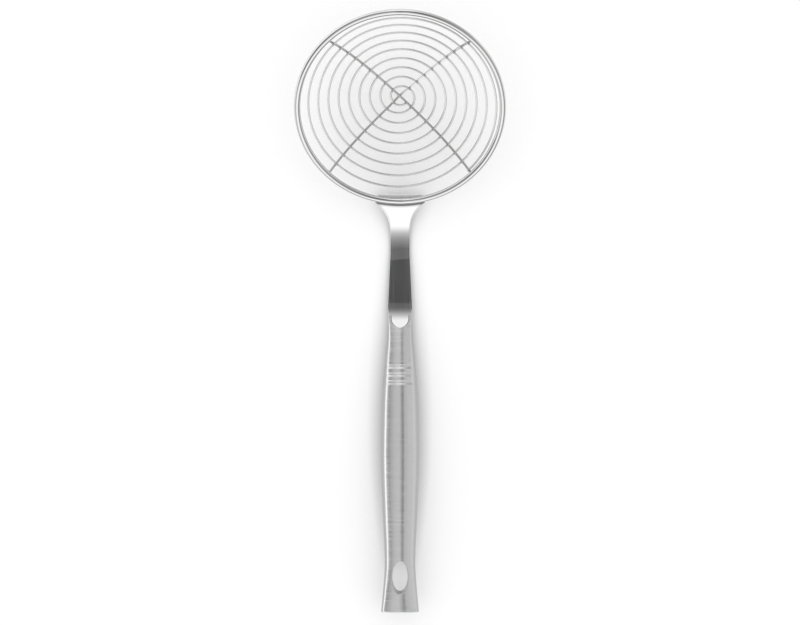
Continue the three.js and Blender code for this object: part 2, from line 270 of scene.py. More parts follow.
# Table: white, with a soft shadow close round what stands on it
table = {
    "size": 8,  # metres, as its other lengths
    "white": 0.95,
    "ownWhite": 0.35,  # share of its white that doesn't wait for light
    "below": 0.0001,
    "nearReach": 0.011,  # the shadow close by, and a wider, weaker one
    "nearDepth": 0.52,
    "wideReach": 0.06,
    "wideDepth": 0.2,
}


def makeTable():
    mesh = bpy.data.meshes.new("table_top")
    half = table["size"] / 2
    corners = [(x * half, y * half, -table["below"]) for x, y in ((-1, -1), (1, -1), (1, 1), (-1, 1))]
    mesh.from_pydata(corners, [], [(0, 1, 2, 3)])
    top = placed("table_top", mesh)
    material, net = newMaterial("white_table")
    near = net.node("ShaderNodeAmbientOcclusion", inputs={"Distance": table["nearReach"]}, output="AO")
    wide = net.node("ShaderNodeAmbientOcclusion", inputs={"Distance": table["wideReach"]}, output="AO")
    shade = near ** table["nearDepth"] * wide ** table["wideDepth"]
    matt = net.node("ShaderNodeBsdfDiffuse", inputs={"Color": grey(net, shade * table["white"])})
    glow = net.node("ShaderNodeEmission", inputs={"Color": grey(net, shade), "Strength": 1})
    path = net.node("ShaderNodeLightPath", output="Is Camera Ray")
    seen = net.maths("MAXIMUM", path, path.other("Is Glossy Ray"))
    seen = net.maths("MAXIMUM", seen, path.other("Is Transmission Ray"))
    blend = net.node("ShaderNodeMixShader", inputs={0: seen * table["ownWhite"], 1: matt, 2: glow})
    net.node("ShaderNodeOutputMaterial", inputs={"Surface": blend})
    mesh.materials.append(material)


makeTable()
print("stage set: camera, tent, table")


# Sizes of the neck and the rim in mm, and from them the head's own frame: the rim's middle is its origin,
# and the bowl opens towards its +z.
neck = {
    "thickness": 2,
    "drop": 1.6,  # strip's middle below the handle's seam
    "flat": 47.6,  # handle's nose to the corner of the bend
    "rise": 23.5,  # corner of the bend to the rim
    "bendRadius": 34,
    "tilt": 26.5,
    "lip": 3.9,  # reach past the middle of the rim's wire
    "lipWidth": 26.6,
    "yokeWidth": 29.8,
    "flareStart": 1.2,
    "flareLength": 24,
    "flareEase": 3.2,
    "width": 11.8,
    "rootWidth": 15.3,
    "taper": 37,
    "tuck": (5, 0.75),  # how long and how far the sides draw in at the handle's nose
    "edgeRound": 0.15,
    "flareRound": (2.8, 0.7),  # how far in and down the edges roll off where the strip flares
    "fit": 0.32,  # hairline between the scoop and the handle's front
    "shoulderGap": 0.06,  # hairline at the handle's nose
}
rim = {
    "radius": 60.4,
    "wire": 3.78,
    "short": 0.8,  # shorter along the handle than across
    "seat": 60.5,  # its middle to the place of the strip under the wire
    "lift": 3.2,  # its middle above the strip's
    "steps": 240,
    "sides": 28,
}
handleLength = 178

tilt = radians(neck["tilt"])
bendCorner = handleLength + neck["flat"]
rimOut, rimLift = neck["rise"] + rim["seat"], rim["lift"]
headMiddle = Vector((
    0,
    bendCorner + rimOut * cos(tilt) - rimLift * sin(tilt),
    rimOut * sin(tilt) + rimLift * cos(tilt) - neck["drop"],
))
headFrame = toolFrame @ Matrix.Translation(headMiddle) @ Matrix.Rotation(tilt, 4, "X")
rimSquash = Matrix.Scale(1 - rim["short"] / (2 * rim["radius"]), 4, (0, 1, 0))
rimFrame = headFrame @ Matrix.Translation((0, rim["short"] / 2, 0)) @ rimSquash


# Steel finishes. Brush and polish marks tilt the surface a little from line to line.
satin = {
    "shade": 0.62,
    "shadeSpread": 0.025,
    "roughness": 0.15,
    "roughnessSpread": 0.02,
    "paintedFlankShade": 0.72,  # painted shade: darker towards the seams, where the sides turn away from front and back
    "paintedFlankFrom": (0.6, 0.82),
    "brushTilt": 1.9,
    "linesPerMetre": 36000,
    "lineLength": 0.02,
    "streaks": 1500,  # of lighter and darker brushing, per metre
    "streakLength": 1 / 30,
    "paintedSleeveShade": 0.3,  # painted shade darkening the hole's wall, and how much duller the end plate's faces are
    "plateTone": 0.8,
}
polish = {
    "shade": 0.72,
    "shadeSpread": 0.02,
    "roughness": 0.03,
    "roughnessSpread": 0.02,
    "markTilt": 0.008,
    "linesPerMetre": 3000,
    "lineLength": 0.03,
    "patchesPerMetre": (90, 40, 90),
    "creaseAt": 211.5,  # mm from the handle's end
    "creaseHalf": 0.15,
    "creaseSlant": 0.085,
    "creaseTilt": 0.11,
    "creaseFade": (216, 226),
    "lipPaintedLight": 0.96,  # dull where it was welded, inside the rim, and lightened there as painted light against the rim's shade
    "lipRoughness": 0.9,
    "lipFade": (-1, 0),  # mm out from the middle of the rim's wire
    "paintedSeamShade": 0.6,  # painted shade beside the seam weld: share of its shade lost there
    "paintedSeamFade": (2.5, 5.1),
}
wireGrain = {"perMm": 0.04, "around": 4}  # how fine the patches on drawn wire are
rimFinish = {
    "shade": 0.7,
    "shadeSpread": 0.05,
    "roughness": 0.1,
    "roughnessSpread": 0.06,
    "paintedLineShade": 0.3,  # painted reflection: dark lines along the wire
    "paintedLineFrom": (0.28, 0.46),  # shares of the way from its top to its sides
    "lineTo": (0.56, 0.78),
}
spiralFinish = {"shade": 0.64, "shadeSpread": 0.06, "roughness": 0.12, "roughnessSpread": 0.06}
# the supports are a darker copy of the spiral's steel, painted shade on the supports
supportFinish = {"shade": 0.45, "shadeSpread": 0.06, "roughness": 0.1, "roughnessSpread": 0.06}
paintedLightStretch = {"shade": 0.78, "from": (62, 72), "to": (100, 112)}  # painted light on part of the lower support, mm along it
tint = {"shade": 0.42, "reach": (0.5, 1.4)}  # spiral beside a weld, mm from the support's middle
bead = {"shade": 0.5, "shadeSpread": 0.12, "roughness": 0.3, "roughnessSpread": 0.12, "grain": 900}
# a real weld whose near-black shade also stands in for the shadow under the rim, as painted shade
seam = {"shade": 0.17, "shadeSpread": 0.06, "roughness": 0.35, "roughnessSpread": 0.1, "grain": 900}


def steel(net, finish, patches, normal=None, shade=None, roughness=None):
    shade = (shade or finish["shade"]) + finish["shadeSpread"] * (patches - 0.5)
    roughness = (roughness or finish["roughness"]) + finish["roughnessSpread"] * (patches - 0.5)
    inputs = {"Base Color": grey(net, shade), "Roughness": roughness, "Metallic": 1.0}
    if normal:
        inputs["Normal"] = normal
    surface = net.node("ShaderNodeBsdfPrincipled", inputs=inputs)
    net.node("ShaderNodeOutputMaterial", inputs={"Surface": surface})


def noise(net, vector, detail, scale=1.0):
    values = {"Vector": vector, "Scale": scale, "Detail": detail}
    return net.node("ShaderNodeTexNoise", {"noise_dimensions": "3D"}, values, "Fac")


# Places on a piece in the skimmer's own axes, each stretched on its own
def stretched(net, scale):
    here = net.here()
    return net.xyz(*(here.dot(axis) * size for axis, size in zip(ownAxes, scale)))


def scaled(net, direction, size):
    return net.node("ShaderNodeVectorMath", {"operation": "SCALE"}, {0: direction, "Scale": size})


def tilted(net, *leans):
    facing = net.node("ShaderNodeNewGeometry", output="Normal")
    for lean in leans:
        facing = net.vectors("ADD", facing, lean)
    return net.vectors("NORMALIZE", facing)


def satinSteel(name, tone=1.0, crossing=along, flankShaded=True):
    material, net = newMaterial(name)

    def brushed(closeness, length):  # fine across the brushing, long with it
        return [closeness if axis == crossing else 1 / length for axis in ownAxes]

    lineScale = brushed(satin["linesPerMetre"], satin["lineLength"])
    streakScale = brushed(satin["streaks"], satin["streakLength"])
    lines = noise(net, stretched(net, lineScale), detail=1.0)
    patches = noise(net, stretched(net, streakScale), detail=4.0)
    shade = satin["shade"] * tone
    if flankShaded:
        # painted shade on the flanks, darker where the side turns away from front and back
        shade = shade * mixed(satin["paintedFlankShade"], 1, net.stored("upright").rise(*satin["paintedFlankFrom"]))
    normal = tilted(net, scaled(net, crossing, (lines - 0.5) * satin["brushTilt"]))
    steel(net, satin, patches, normal, shade)
    return material


def polishedSteel():
    material, net = newMaterial("polished_steel")
    lengthwise = 1 / polish["lineLength"]
    lines = noise(net, stretched(net, (polish["linesPerMetre"], lengthwise, lengthwise)), detail=3.0)
    patches = noise(net, stretched(net, polish["patchesPerMetre"]), detail=4.0)
    here = net.here()
    inTool = net.vectors("SUBTRACT", here, Vector(endFace["pos_m"]))
    aside, fromEnd = inTool.dot(across) / mm, inTool.dot(along) / mm
    pastCrease = fromEnd - aside * polish["creaseSlant"] - polish["creaseAt"]
    crease = pastCrease.rise(-polish["creaseHalf"], polish["creaseHalf"])
    crease = crease * (1 - fromEnd.rise(*polish["creaseFade"])) * -polish["creaseTilt"]
    marks = scaled(net, across, (lines - 0.5) * polish["markTilt"])
    normal = tilted(net, marks, scaled(net, along, crease))
    fromMiddle = net.vectors("DISTANCE", here, headFrame.translation, output="Value")
    fromRim = fromMiddle / mm - rim["radius"]
    # inside the rim the strip is rougher, and its colour is lightened as painted light against the rim's
    # shade
    dullAndLit = 1 - fromRim.rise(*polish["lipFade"])
    # painted shade on the strip beside the seam weld, fading out from the rim
    paintedSeamShade = (1 - dullAndLit) * (1 - fromRim.rise(*polish["paintedSeamFade"]))
    shade = mixed(polish["shade"], polish["lipPaintedLight"], dullAndLit) * (1 - polish["paintedSeamShade"] * paintedSeamShade)
    roughness = mixed(polish["roughness"], polish["lipRoughness"], dullAndLit)
    steel(net, polish, patches, normal, shade, roughness)
    return material


def weldTint(net):  # 1 over the crossed supports, along the head's two diagonals
    fromMiddle = net.vectors("SUBTRACT", net.here(), headFrame.translation)
    axes = [headFrame.col[column].to_3d().normalized() for column in (0, 1)]
    aside, ahead = (abs(fromMiddle.dot(axis)) / mm for axis in axes)
    off = abs(aside - ahead) * sqrt(0.5)
    return 1 - off.rise(*tint["reach"])


def drawnSteel(name, finish, tinted=False, paintedLit=False):
    material, net = newMaterial(name)
    run, turn = net.stored("alongWire"), net.stored("aroundWire") * (2 * pi)
    aside, up = net.maths("COSINE", turn), net.maths("SINE", turn)
    ring = net.xyz(run * wireGrain["perMm"], aside * wireGrain["around"], up * wireGrain["around"])
    patches = noise(net, ring, detail=4.0)
    shade = finish["shade"]
    if "paintedLineShade" in finish:
        # painted reflection: dark lines at fixed places round the rim's wire
        lines = abs(aside).band(finish["paintedLineFrom"], finish["lineTo"])
        shade = mixed(shade, finish["paintedLineShade"], lines)
    if paintedLit:
        # painted light: lighter over a stretch of the lower support
        shade = mixed(shade, paintedLightStretch["shade"], run.band(paintedLightStretch["from"], paintedLightStretch["to"]))
    if tinted:
        shade = mixed(shade, tint["shade"], weldTint(net))
    steel(net, finish, patches, shade=shade)
    return material


def weldSteel(name, finish):
    material, net = newMaterial(name)
    steel(net, finish, noise(net, net.here(), detail=3.0, scale=finish["grain"]))
    return material


satinMaterial = satinSteel("satin_steel")
# the hole's wall is a darker copy of the satin, painted shade for the recess
sleeveMaterial = satinSteel("sleeve_steel_painted_shade", satin["paintedSleeveShade"], flankShaded=False)
plateMaterial = satinSteel("end_plate_steel", satin["plateTone"], outward, flankShaded=False)
polishedMaterial = polishedSteel()
rimMaterial = drawnSteel("rim_wire_steel_painted_lines", rimFinish)
spiralMaterial = drawnSteel("spiral_wire_steel", spiralFinish, tinted=True)
supportMaterial = drawnSteel("support_wire_steel", supportFinish)
lowerSupportMaterial = drawnSteel("lower_support_steel_painted_light", supportFinish, paintedLit=True)
beadMaterial = weldSteel("weld_steel", bead)
seamShadeMaterial = weldSteel("seam_weld_steel_painted_shade", seam)
print("finishes made: satin, polished, drawn wire, weld")


# Tools for the pieces
wireCrease, sheetCrease = radians(50), radians(40)  # edges sharper than this aren't smoothed
mergeWithin, sliverWithin = 1e-4, 1e-5  # mm
tiny = 1e-6


# A tree's inputs have the names that the piece's dictionary has for its sizes.
def newTree(name, sizes, counts):
    tree = bpy.data.node_groups.new(name, "GeometryNodeTree")
    tree.interface.new_socket("Geometry", in_out="OUTPUT", socket_type="NodeSocketGeometry")
    tree.interface.new_socket("Geometry", in_out="INPUT", socket_type="NodeSocketGeometry")
    kinds = {"NodeSocketFloat": sizes, "NodeSocketInt": counts, "NodeSocketMaterial": ["material"]}
    for kind, labels in kinds.items():
        for label in labels:
            tree.interface.new_socket(label, in_out="INPUT", socket_type=kind)
    net = Sock(tree)
    return tree, net, net.node("NodeGroupInput").other


def endTree(net, mesh, size):
    smooth = net.node("GeometryNodeSetShadeSmooth", inputs={0: mesh})
    whole = net.node("GeometryNodeRealizeInstances", inputs={0: smooth})
    paint = {"Geometry": whole, "Material": size("material")}
    painted = net.node("GeometryNodeSetMaterial", inputs=paint)
    net.node("NodeGroupOutput", inputs={0: painted})


def plainMesh(thing):
    depsgraph = bpy.context.evaluated_depsgraph_get()
    mesh = bpy.data.meshes.new_from_object(thing.evaluated_get(depsgraph), depsgraph=depsgraph)
    thing.modifiers.clear()
    thing.data = mesh
    return mesh


def grown(name, tree, sizes, material, place, base=None):
    piece = placed(name, base or bpy.data.meshes.new(name))
    modifier = piece.modifiers.new("grow", "NODES")
    modifier.node_group = tree
    values = dict(sizes, material=material)
    for socket in tree.interface.items_tree:
        if socket.in_out == "INPUT" and socket.name in values:
            value = values[socket.name]
            if socket.socket_type == "NodeSocketFloat":
                value = float(value)
            modifier[socket.identifier] = value
    mesh = plainMesh(piece)
    mesh.transform(place)
    mesh.set_sharp_from_angle(angle=wireCrease)
    return piece


def meshPiece(name, points, faces, material, facing=None):
    mesh = bpy.data.meshes.new(name)
    mesh.from_pydata(points, [], faces)
    work = bmesh.new()
    work.from_mesh(mesh)
    bmesh.ops.remove_doubles(work, verts=work.verts, dist=mergeWithin)
    bmesh.ops.dissolve_degenerate(work, edges=work.edges, dist=sliverWithin)
    bmesh.ops.recalc_face_normals(work, faces=work.faces)
    if facing:  # an open skin is turned by its face furthest out
        work.normal_update()
        furthest = max(work.faces, key=lambda face: face.calc_center_median().dot(facing))
        if furthest.normal.dot(facing) < 0:
            bmesh.ops.reverse_faces(work, faces=work.faces)
    for face in work.faces:
        face.smooth = True
    work.to_mesh(mesh)
    work.free()
    mesh.transform(toolFrame)
    mesh.materials.append(material)
    if not facing:
        mesh.set_sharp_from_angle(angle=sheetCrease)
    return placed(name, mesh)


def tubeFaces(rings, sides, capped=False, looped=False):  # between closed rings of points, in order
    faces = []
    for r in range(rings if looped else rings - 1):
        here, there = r * sides, (r + 1) % rings * sides
        for k in range(sides):
            n = (k + 1) % sides
            faces.append((here + k, here + n, there + n, there + k))
    if capped:
        faces.append(tuple(range(sides)))
        faces.append(tuple((rings - 1) * sides + k for k in range(sides)))
    return faces


def rolled(size, share):  # a rounded edge: what is left of its way across, and how far it has come down
    turn = share * pi / 2
    return size * (1 - sin(turn)), size * (1 - cos(turn))


def polar(radius, angle, height):
    return Vector((radius * cos(angle), radius * sin(angle), height))


def halved(low, high, before, halvings=50):  # where before() stops being true on the way from low to high
    for _ in range(halvings):
        middle = (low + high) / 2
        if before(middle):
            low = middle
        else:
            high = middle
    return low


def markUpright(mesh):  # how squarely the handle's side faces front or back, which sets the satin finish's painted shade on the flanks
    shares = []
    for normal in mesh.vertex_normals:
        side, front = abs(normal.vector.dot(across)), abs(normal.vector.dot(outward))
        shares.append(front / max(hypot(side, front), tiny))
    upright = mesh.attributes.new("upright", "FLOAT", "POINT")
    upright.data.foreach_set("value", shares)


def settle(piece, slot, *nodes):
    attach(piece, "root")
    if nodes:
        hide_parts(*nodes)
    print("piece:", piece.name, len(piece.data.polygons), "faces")


def ringCurve(net, radius, count):
    sizes = {"Resolution": count, "Radius": radius}
    return net.node("GeometryNodeCurvePrimitiveCircle", {"mode": "RADIUS"}, sizes)


def sweep(net, path, size):
    def marked(curve, label, measure):  # the way along a curve, kept for the finish
        way = net.node("GeometryNodeSplineParameter", output=measure)
        return net.node("GeometryNodeStoreNamedAttribute", {"data_type": "FLOAT", "domain": "POINT"},
                        {"Geometry": curve, "Name": label, "Value": way})

    run = marked(path, "alongWire", "Length")
    ring = marked(ringCurve(net, size("wire") / 2, size("sides")), "aroundWire", "Factor")
    inputs = {"Curve": run, "Profile Curve": ring, "Fill Caps": True}
    return net.node("GeometryNodeCurveToMesh", inputs=inputs)


def makeRim():
    tree, net, size = newTree("bent_ring", ("radius", "wire"), ("steps", "sides"))
    circle = ringCurve(net, size("radius"), size("steps"))
    endTree(net, sweep(net, circle, size), size)
    settle(grown("rim", tree, rim, rimMaterial, rimFrame), "wire_steel", "rim_ring")


makeRim()

# Bowl: a spiral on two crossed supports
bowl = {
    "rimRadius": rim["radius"],
    "depth": 18,
    "wallShare": 0.45,  # makes the bowl steeper towards the rim
}
spiral = {
    "wire": 1.3,
    "turns": 9,
    "eyeRadius": 5.2,
    "startRadius": 3,
    "endRadius": 57.4,
    "ease": 1.04,  # turns lie a little closer towards the rim
    "startAngle": -45,
    "stepsPerTurn": 84,
    "sides": 12,
}


# These two work on numbers and on a tree's sockets: size gives either by its name.
def bowlHeight(radius, size=bowl.get):
    q, wall = (radius / size("rimRadius")) ** 2, size("wallShare")
    return size("depth") * ((1 - wall) * q + wall * q * q - 1)


def woundRadius(way, size=spiral.get):  # of the spiral, if it had no eye
    share = 1 - (1 - way) ** size("ease")
    return mixed(size("startRadius"), size("endRadius"), share)


def makeSpiral():
    labels = ("wire", "turns", "eyeRadius", "startRadius", "endRadius", "ease", "startAngle", *bowl)
    tree, net, size = newTree("wound_spiral", labels, ("steps", "sides"))
    line = net.node("GeometryNodeCurvePrimitiveLine", inputs={"End": (1, 0, 0)})
    path = net.node("GeometryNodeResampleCurve", {"mode": "COUNT"},
                    {"Curve": line, "Count": size("steps")})
    way = net.node("GeometryNodeSplineParameter", output="Factor")
    radius = net.maths("MAXIMUM", size("eyeRadius"), woundRadius(way, size))
    angle = size("startAngle") - 2 * pi * size("turns") * way
    x, y = radius * net.maths("COSINE", angle), radius * net.maths("SINE", angle)
    spot = net.xyz(x, y, bowlHeight(radius, size))
    wound = net.node("GeometryNodeSetPosition", inputs={"Geometry": path, "Position": spot})
    endTree(net, sweep(net, wound, size), size)
    sizes = {**spiral, **bowl, "startAngle": radians(spiral["startAngle"])}
    sizes["steps"] = spiral["turns"] * spiral["stepsPerTurn"] + 1
    settle(grown("spiral", tree, sizes, spiralMaterial, headFrame), "wire_steel", "spiral_wire")


makeSpiral()


def bowlSlope(radius):
    q = (radius / rim["radius"]) ** 2
    lift = 1 - bowl["wallShare"] + 2 * bowl["wallShare"] * q
    return atan(2 * bowl["depth"] * radius * lift / rim["radius"] ** 2)


supports = {
    "wire": 1.5,
    "sink": 0.06,  # how far welded wires press into each other
    "angle": 45,
    "taper": 0,  # its ends stay square, and it has no ripple
    "ripple": 0,
    "ripplePitch": 1,
    "halfSteps": 40,
    "sides": 14,
}
supportOffset = (spiral["wire"] + supports["wire"]) / 2 - supports["sink"]


def supportPoint(radius):
    slope = bowlSlope(radius)
    reach = radius + supportOffset * sin(slope)
    return reach, bowlHeight(radius) - supportOffset * cos(slope)


def insideRim(radius):  # whether the support's middle is still short of the rim's skin
    reach, height = supportPoint(radius)
    return hypot(rim["radius"] - reach, height) > rim["wire"] / 2


supportEnd = halved(0, rim["radius"], insideRim)


def supportPath(angle, dip):
    points = []
    for step in range(-supports["halfSteps"], supports["halfSteps"] + 1):
        radius = abs(step) / supports["halfSteps"] * supportEnd
        reach, height = supportPoint(radius)
        inEye = max(0, 1 - (radius / (2 * spiral["eyeRadius"])) ** 2)
        reach = copysign(reach, step) if step else 0
        points.append(polar(reach, angle, height - dip * inEye ** 2))
    return points


def sweptTree():
    tree, net, size = newTree("swept_wire", ("wire", "taper", "ripple", "ripplePitch"), ["sides"])
    path = net.node("GeometryNodeMeshToCurve", inputs={"Mesh": size("Geometry")})
    way = net.node("GeometryNodeSplineParameter", output="Factor")
    wave = net.maths("COSINE", way.other("Length") / size("ripplePitch") * (2 * pi))
    abruptness = 8  # how close to its ends the wire rounds off
    rounded = (1 - size("taper") * (way * 2 - 1) ** abruptness) ** 0.5
    thickness = rounded * (1 + size("ripple") * wave)
    tapered = net.node("GeometryNodeSetCurveRadius", inputs={"Curve": path, "Radius": thickness})
    endTree(net, sweep(net, tapered, size), size)
    return tree


def pathMesh(name, points):
    mesh = bpy.data.meshes.new(name)
    mesh.from_pydata(points, [(i, i + 1) for i in range(len(points) - 1)], [])
    return mesh


wireTree = sweptTree()


def makeSupport(name, side, dip, node, material):
    path = pathMesh(name, supportPath(side * radians(supports["angle"]), dip))
    settle(grown(name, wireTree, supports, material, headFrame, path), "wire_steel", node)


makeSupport("support_upper", -1, 0, "cross_wire_upper", supportMaterial)
lowerDip = supports["wire"] - supports["sink"]
makeSupport("support_lower", 1, lowerDip, "cross_wire_lower", lowerSupportMaterial)

# Weld beads where wires cross or end, each lying flat on the bowl
welds = {
    "crossing": 1.9,
    "end": 2.2,
    "flat": 0.5,  # height as a share of the width
    "spread": 0.12,
    "seed": 7,
    "segments": 12,
    "rings": 8,
}


def beadTree():
    tree, net, size = newTree("weld_beads", ("flat", "spread"), ("seed", "segments", "rings"))
    ball = net.node("GeometryNodeMeshUVSphere",
                    inputs={"Segments": size("segments"), "Rings": size("rings"), "Radius": 0.5})

    def marked(label, kind):
        values = {"Name": label}
        return net.node("GeometryNodeInputNamedAttribute", {"data_type": kind}, values, "Attribute")

    turn = net.node("FunctionNodeAlignRotationToVector", {"axis": "Z"},
                    {"Vector": marked("lie", "FLOAT_VECTOR")})
    spread = size("spread")
    change = net.node("FunctionNodeRandomValue", {"data_type": "FLOAT"},
                      {2: 1 - spread, 3: 1 + spread, "Seed": size("seed")}, 1)
    wide = marked("size", "FLOAT") * change
    scale = net.xyz(wide, wide, wide * size("flat"))
    beads = net.node("GeometryNodeInstanceOnPoints", inputs={
        "Points": size("Geometry"), "Instance": ball, "Rotation": turn, "Scale": scale})
    endTree(net, beads, size)
    return tree


def bowlNormal(radius, angle):
    slope = bowlSlope(radius)
    return polar(-sin(slope), angle, cos(slope))


def beadPlaces():
    places = []
    for quarter in range(4 * spiral["turns"] + 1):
        way = quarter / (4 * spiral["turns"])
        radius = max(spiral["eyeRadius"], woundRadius(way))
        angle = radians(spiral["startAngle"]) - quarter * pi / 2
        lie = bowlNormal(radius, angle)
        spot = polar(radius, angle, bowlHeight(radius))
        places.append((spot - lie * (spiral["wire"] / 2), lie, welds["crossing"]))
    reach, height = supportPoint(supportEnd)
    for side in range(4):
        angle = radians(supports["angle"]) + side * pi / 2
        places.append((polar(reach, angle, height), bowlNormal(supportEnd, angle), welds["end"]))
    return places


def makeBeads():
    places = beadPlaces()
    mesh = bpy.data.meshes.new("weld_beads")
    mesh.from_pydata([spot for spot, _, _ in places], [], [])
    sizes = mesh.attributes.new("size", "FLOAT", "POINT")
    lies = mesh.attributes.new("lie", "FLOAT_VECTOR", "POINT")
    for i, (_, lie, size) in enumerate(places):
        sizes.data[i].value = size
        lies.data[i].vector = lie
    settle(grown("weld_beads", beadTree(), welds, beadMaterial, headFrame, mesh), "wire_steel")


makeBeads()

# Seam weld that holds the strip under the rim, near black so that it also stands as painted shade under
# the rim
rimWeld = {
    "wire": 2.1,
    "out": 2.9,
    "height": -2.0,
    "halfAngle": 12.6,
    "taper": 0.97,
    "ripple": 0.04,
    "ripplePitch": 1.3,
    "steps": 200,
    "sides": 16,
}


def makeRimWeld():
    radius = rim["radius"] + rimWeld["out"]
    points = []
    for step in range(rimWeld["steps"] + 1):
        share = sin((step / rimWeld["steps"] - 0.5) * pi)
        angle = radians(rimWeld["halfAngle"] * share - 90)
        points.append(polar(radius, angle, rimWeld["height"]))
    path = pathMesh("rim_weld", points)
    settle(grown("rim_weld", wireTree, rimWeld, seamShadeMaterial, rimFrame, path), "wire_steel")


makeRimWeld()
print("head done")

# Handle: a hollow grip of two shells
handle = {
    "bellyFromEnd": 92,
    "shoulderFromNose": 57,
    "bellyWidth": 23,
    "bellyDepth": 16.36,
    "wall": 1,
    "seam": 0.03,  # half of the hairline between the shells
    "rear": 1.75,  # where the shells start, past the end plate
    "noseRound": 2.4,
    "noseDraw": 0.1,  # how far its sides draw in round the nose
    "noseOverlap": 0.1,
}
# Knots of the grip, all shares, as in the solids: where, then half width, front and back
gripFromEnd = [
    (0, 0.99, 0.61, 0.61),
    (0.14, 0.887, 0.66, 0.66),
    (0.315, 0.8, 0.73, 0.73),
    (0.665, 0.913, 0.9, 0.9),
    (1, 1, 1, 1),
]
gripFromNose = [
    (1, 0.96, 0.975, 0.975),
    (0.685, 0.874, 0.88, 0.89),
    (0.475, 0.787, 0.745, 0.793),
    (0.265, 0.672, 0.573, 0.72),
    (0.14, 0.63, 0.417, 0.66),
    (0.053, 0.608, 0.25, 0.615),
    (0, 0.597, 0.097, 0.585),
]
grooves = {
    "count": 3,
    "fromNose": 30.6,
    "pitch": 4.75,
    "width": 2.8,
    "depth": 0.56,
    "soft": 0.15,
    "side": 0.4,  # share of the depth at the handle's sides
}
scoop = {
    "ahead": 7.3,  # crease where it starts, before the handle's nose
    "slopes": (0.0875, 0.4),  # at the crease, and up to the tip
    "bend": (5.5, -3.7),  # where the slope changes, before the nose
    "half": 5.45,
    "roundLength": 5.75,
    "reach": 15,  # its tip is looked for this far back from the nose
}
hole = {
    "fromEnd": 21,
    "width": 9.3,
    "length": 19.8,
    "backShort": 1.2,  # shorter at the back, so that the wall near the end slants
    "lipRound": 0.55,
    "lipDepth": 0.4,
    "sleeveWall": 1,
    "sleeveGap": 0.02,
    "sleeveSides": 112,
    "sleeveSteps": 8,
}
# Rows of the shells' skin, closer together where the form is finer
skin = {
    "spacings": (0.6, 1, 1.6, 0.18, 1, 0.4),  # mm, at the end, hole, belly, grooves, nose and scoop's tip
    "besideGrooves": 3,
    "behindTip": 2,
    "scoopSteps": 30,
    "noseSteps": 12,
    "sideSteps": 26,
    "holeRows": (6, 36),  # stretch of the handle that the hang hole's patch takes
    "holeColumn": 11,  # column where that patch starts
    "flatRings": 7,
    "lipRings": 8,
}


def smoothThrough(knots):
    secants = [(b[1] - a[1]) / (b[0] - a[0]) for a, b in zip(knots, knots[1:])]
    slopes = [secants[0]]
    for before, after in zip(secants, secants[1:]):
        slopes.append(0 if before * after <= 0 else 2 * before * after / (before + after))
    slopes.append(secants[-1])

    def value(at):
        i = 0
        while i < len(knots) - 2 and at > knots[i + 1][0]:
            i += 1
        span = knots[i + 1][0] - knots[i][0]
        u = (at - knots[i][0]) / span
        lift = u * u * (3 - 2 * u)
        lean = span * (slopes[i] * u * (1 - u) ** 2 - slopes[i + 1] * u * u * (1 - u))
        return mixed(knots[i][1], knots[i + 1][1], lift) + lean

    return value


def gripCurve(column, size):
    knots = [(knot[0] * handle["bellyFromEnd"], knot[column] * size / 2) for knot in gripFromEnd]
    for knot in gripFromNose:
        knots.append((handleLength - knot[0] * handle["shoulderFromNose"], knot[column] * size / 2))
    return smoothThrough(knots)


gripHalf = gripCurve(1, handle["bellyWidth"])  # by column of the knots
gripFront = gripCurve(2, handle["bellyDepth"])
gripBack = gripCurve(3, handle["bellyDepth"])
grooveMiddles = [
    handleLength - grooves["fromNose"] - i * grooves["pitch"] for i in range(grooves["count"])
]


def grooveCut(y):
    nearest = min(abs(y - middle) for middle in grooveMiddles)
    u = min(nearest / (grooves["width"] / 2), 1)
    soft = grooves["soft"]
    return grooves["depth"] * (1 - (hypot(u, soft) - soft) / (hypot(1, soft) - soft))


stripTop = neck["thickness"] / 2 - neck["drop"]
stripUnder = neck["thickness"] / 2 + neck["drop"]


def shellSize(y, side):
    cut = grooveCut(y)
    if y <= handleLength:
        height = gripFront(y) if side > 0 else gripBack(y)
        return gripHalf(y) - cut * grooves["side"], height - cut
    u = (y - handleLength) / handle["noseRound"]  # the back shell closes round the strip
    closing = mixed(stripUnder, gripBack(handleLength), sqrt(max(0, 1 - u * u)))
    return gripHalf(handleLength) - handle["noseDraw"] * u, closing


def shellHeight(x, y, side):
    half, height = shellSize(y, side)
    return side * mixed(handle["seam"], height, sqrt(max(0, 1 - (x / half) ** 2)))


scoopStart = handleLength + scoop["ahead"]


def scoopHeight(y):
    first, last = scoop["slopes"]
    bendFrom, bendTo = (handleLength + ahead for ahead in scoop["bend"])
    span = bendFrom - bendTo
    u = min(max((bendFrom - y) / span, 0), 1)
    bent = span * (u ** 3 - u ** 4 / 2) + max(bendTo - y, 0)
    return stripTop + first * max(scoopStart - y, 0) + (last - first) * bent


def aboveFront(y):
    return scoopHeight(y) > gripFront(y)


scoopTip = halved(handleLength - scoop["reach"], handleLength, aboveFront)


def scoopHalf(y):  # a slot with a round end
    fromRound = max(scoopTip + scoop["roundLength"] - y, 0) / scoop["roundLength"]
    return scoop["half"] * sqrt(max(1 - fromRound ** 2, 0))


def scoopAngle(y):  # how far up the front's oval the shell goes beside the scoop
    return acos(min(1, scoopHalf(y) / gripHalf(y)))


def rowsBetween(marks, spacings):  # each stretch from mark to mark has its own spacing
    rows = []
    for start, end, spacing in zip(marks, marks[1:], spacings):
        count = max(1, round((end - start) / spacing))
        rows += [start + (end - start) * i / count for i in range(count)]
    return rows


